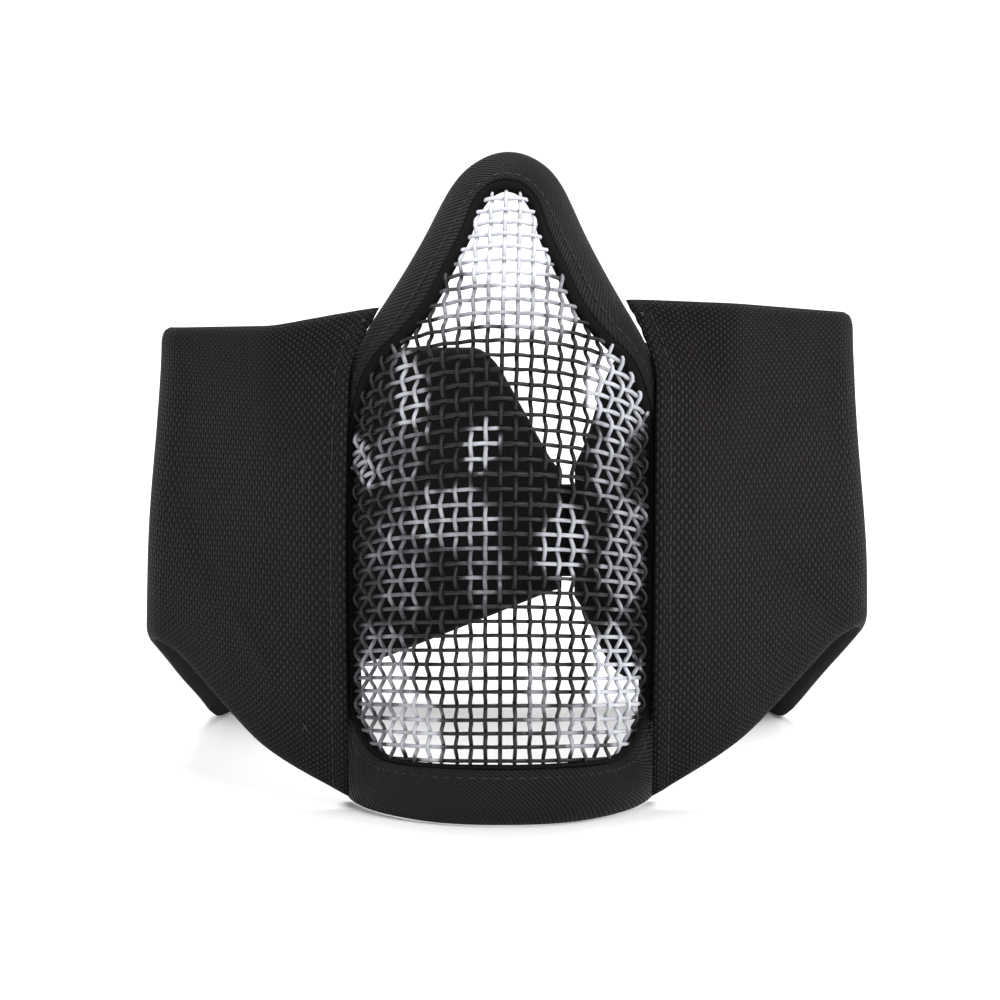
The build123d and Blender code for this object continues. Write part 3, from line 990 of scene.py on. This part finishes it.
def stitchRow(name, places, normals, body, wide=thread["wide"], tall=thread["tall"]):
    # one small bead for each pair of holes, lying along the row
    shape = bmesh.new()
    shape.loops.layers.uv.new("cloth")
    for start, end, out in zip(places[::2], places[1::2], normals[::2]):
        along = (end - start).normalized()
        turn = Matrix((along, out.cross(along).normalized(), out.normalized())).transposed().to_4x4()
        reach = Matrix.Diagonal(((end - start).length / 2 + 0.1 * mm, wide, tall, 1))
        bmesh.ops.create_uvsphere(shape, u_segments=6, v_segments=4, radius=1,
                                  matrix=Matrix.Translation((start + end) / 2) @ turn @ reach)
    bmesh.ops.recalc_face_normals(shape, faces=shape.faces)
    return finishPiece(name, shape, body, sewingThread)


def holeAt(step, count, draw):
    # the share of the row at a needle hole: the two holes of a stitch are drawn apart
    return (step + draw * (1 if step % 2 else -1)) / count


def bandStitches(name, first, last):
    start, length = bandStretch(first, last)
    count = 4 * int(length / (2 * thread["bandPitch"]))
    places, normals = [], []
    for step in range(count):
        at = edgeAt(start + length * holeAt(step, count, 0.25))
        spot = edgePlace(at, band["stitchAt"], band["half"] + band["wall"] / 2 + 0.1 * mm)
        places.append(spot)
        normals.append((edgePlace(at, band["stitchAt"], 6 * mm) - spot).normalized())
    stitchRow(name, places, normals, "face_guard")


def hemStitches(name, wing):
    low, top = heightAt(3.3, wing["low"]) + 2, heightAt(3.3, wing["top"]) - 2
    count = 2 * int((top - low) / thread["hemPitch"])
    places, normals = [], []
    for step in range(count):
        height = low + (top - low) * holeAt(step, count, 0.2)
        run = hem["stitchAt"] + 0.15 * math.sin(step * 0.7)
        spot = wingPlace(name, run, height, wingThickness(wing, run, height, 0, 130) + 0.12 * mm)
        places.append(spot)
        normals.append((wingPlace(name, run, height, 6 * mm) - spot).normalized())
    stitchRow(name + "_front_stitches", places, normals, "face_guard")


bandStitches("nose_stitches", -7.9, 7.9)
bandStitches("chin_stitches", 11.4, -11.4)
for name, wing in wings.items():
    hemStitches(name, wing)


def boxStitch(name, node, body, left, right, inset=2.2 * mm, cross=False):
    # stitches round a box on the outside of a flat tape, from x left to x right, and across it both ways
    low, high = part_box(node)
    y, z1, z2 = high.y + 0.08 * mm, low.z + inset, high.z - inset
    corners = [Vector((x, y, z)) for x, z in ((left, z1), (right, z1), (right, z2), (left, z2), (left, z1))]
    if cross:
        corners += [corners[2], corners[1], corners[3]]
    places = []
    for start, end in zip(corners, corners[1:]):
        count = max(1, round((end - start).length / thread["linePitch"]))
        places += [start.lerp(end, (step + share) / count) for step in range(count) for share in (0.18, 0.82)]
    stitchRow(name, places, [Vector((0, 1, 0))] * len(places), body)


base, hook, tab = [[corner.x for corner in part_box(node)] for node in ("strap_base", "hook_patch", "pull_tab")]
boxStitch("strap_box_stitch", "strap_base", "left_ear", base[0] + 2.2 * mm, base[0] + 22 * mm, cross=True)
boxStitch("strap_edge_stitch", "strap_base", "left_ear", base[0] + 25 * mm, base[1] - 1.5 * mm)
boxStitch("hook_patch_stitch", "strap", "closure", hook[0] + 1.2 * mm, hook[1] - 1 * mm)
boxStitch("pull_tab_stitch", "pull_tab", "closure", tab[0] + 1.4 * mm, tab[0] + 6 * mm, 1.6 * mm, cross=True)

# hook cloth: stubby hooks standing off the patch, facing the loops
hooks = {"pitch": 1.1 * mm, "radius": 0.16 * mm, "tip": 0.096 * mm, "height": 0.5 * mm, "lean": 14,
         "stray": 0.1 * mm, "before": 1 * mm, "after": 0.8 * mm}


def hookRows():
    low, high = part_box("hook_patch")
    shape = bmesh.new()
    shape.loops.layers.uv.new("cloth")
    x = low.x + hooks["before"]
    while x < high.x - hooks["after"]:
        z = low.z + hooks["before"]
        while z < high.z - hooks["after"]:
            lean = Matrix.Rotation(math.radians(90 + dice.uniform(-hooks["lean"], hooks["lean"])), 4, "X")
            stray = dice.uniform(-hooks["stray"], hooks["stray"])
            where = Matrix.Translation((x + stray, low.y - hooks["height"] * 0.35, z))
            bmesh.ops.create_cone(shape, cap_ends=True, segments=5, radius1=hooks["radius"],
                                  radius2=hooks["tip"], depth=hooks["height"], matrix=where @ lean)
            z += hooks["pitch"]
        x += hooks["pitch"]
    bmesh.ops.recalc_face_normals(shape, faces=shape.faces)
    finishPiece("hook_rows", shape, "closure", sewingThread)


hookRows()

# knots where the seams end at the top, and a thread tack low on the left
for name, wing in wings.items():
    top = wing["cheekTop"][0][1]
    spots = [wingPlace(name, run, top - down, 1.0 * mm) for run, down in ((1.4, 3.2), (2.2, 3.9))]
    stitchRow(name + "_seam_knot", spots, [Vector((0, -1, 0))] * 2, "face_guard", 0.55 * mm, 0.5 * mm)
tackHoles = [(10.2, 19.0), (12.4, 21.6), (12.6, 19.2), (10.6, 21.2)]
tackSpots = [wingPlace("left", run, height, 2.35 * mm) for run, height in tackHoles]
tack = stitchRow("left_thread_tack", tackSpots, [Vector((-0.6, -0.8, 0))] * 4, None)
turnPlace("left", cheekTurn[0])
turnPlace("left", cheekTurn[1])
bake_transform(tack)
print("stitches, hooks and knots sewn")

# floor, lights and camera
floorMaterial, floorNodes, floorLinks, floorShader = newMaterial("paleFloor")
floorShader.inputs["Base Color"].default_value = (0.95, 0.95, 0.95, 1)
floorShader.inputs["Roughness"].default_value = 0.75
studio = {"wide": 6.0, "front": -2.5, "back": 1.6, "rise": 0.8, "height": 2.5, "drop": 0.05 * mm}


def floorPlace(u, v):
    # flat under the object, then up behind it in one curve
    x, back, rise = (u - 0.5) * studio["wide"], studio["back"], studio["rise"]
    flat, curve = back - studio["front"], rise * math.pi / 2
    run = v * (flat + curve + studio["height"])
    if run < flat:
        return Vector((x, studio["front"] + run, -studio["drop"]))
    if run < flat + curve:
        swing = (run - flat) / rise
        return Vector((x, back + rise * math.sin(swing), rise * (1 - math.cos(swing))))
    return Vector((x, back + rise, rise + run - flat - curve))


floor = gridPiece("studio_floor", 4, 90, floorPlace, lambda u, v: (u, v), None, floorMaterial)


def addLight(name, place, target, size, power):
    lamp = bpy.data.lights.new(name, "AREA")
    lamp.shape, lamp.size, lamp.energy = "DISK", size, power
    holder = bpy.data.objects.new(name, lamp)
    holder.location = place
    holder.rotation_euler = (Vector(target) - Vector(place)).to_track_quat("-Z", "Y").to_euler()
    bpy.context.scene.collection.objects.link(holder)


addLight("keyLight", (0.75, -1.0, 0.9), (0, 0, 0.08), 0.6, 19)
addLight("fillLight", (-1.1, -0.7, 0.7), (0, 0, 0.08), 1.0, 3)
addLight("topLight", (0.0, 0.5, 1.5), (0, 0.3, 0.0), 1.2, 20)
world = bpy.data.worlds.new("studioAir")
world.use_nodes = True
air = world.node_tree.nodes["Background"]
air.inputs["Color"].default_value = (1, 1, 1, 1)
air.inputs["Strength"].default_value = 0.8
bpy.context.scene.world = world
bpy.context.scene.view_settings.view_transform = "Standard"

view = {
    "elevation": math.radians(9),
    "distance": 0.85,
    "target": Vector((0, panel["front"], 80.5 * mm)),
    "lens": 131.6,          # on a sensor 36 wide
}
lens = bpy.data.cameras.new("studioCamera")
lens.lens, lens.sensor_width = view["lens"], 36
camera = bpy.data.objects.new("studioCamera", lens)
reach = Vector((0, -math.cos(view["elevation"]), math.sin(view["elevation"]))) * view["distance"]
camera.location = view["target"] + reach
camera.rotation_euler = (-reach).to_track_quat("-Z", "Y").to_euler()
bpy.context.scene.collection.objects.link(camera)
bpy.context.scene.camera = camera
print("floor, lights and camera placed")
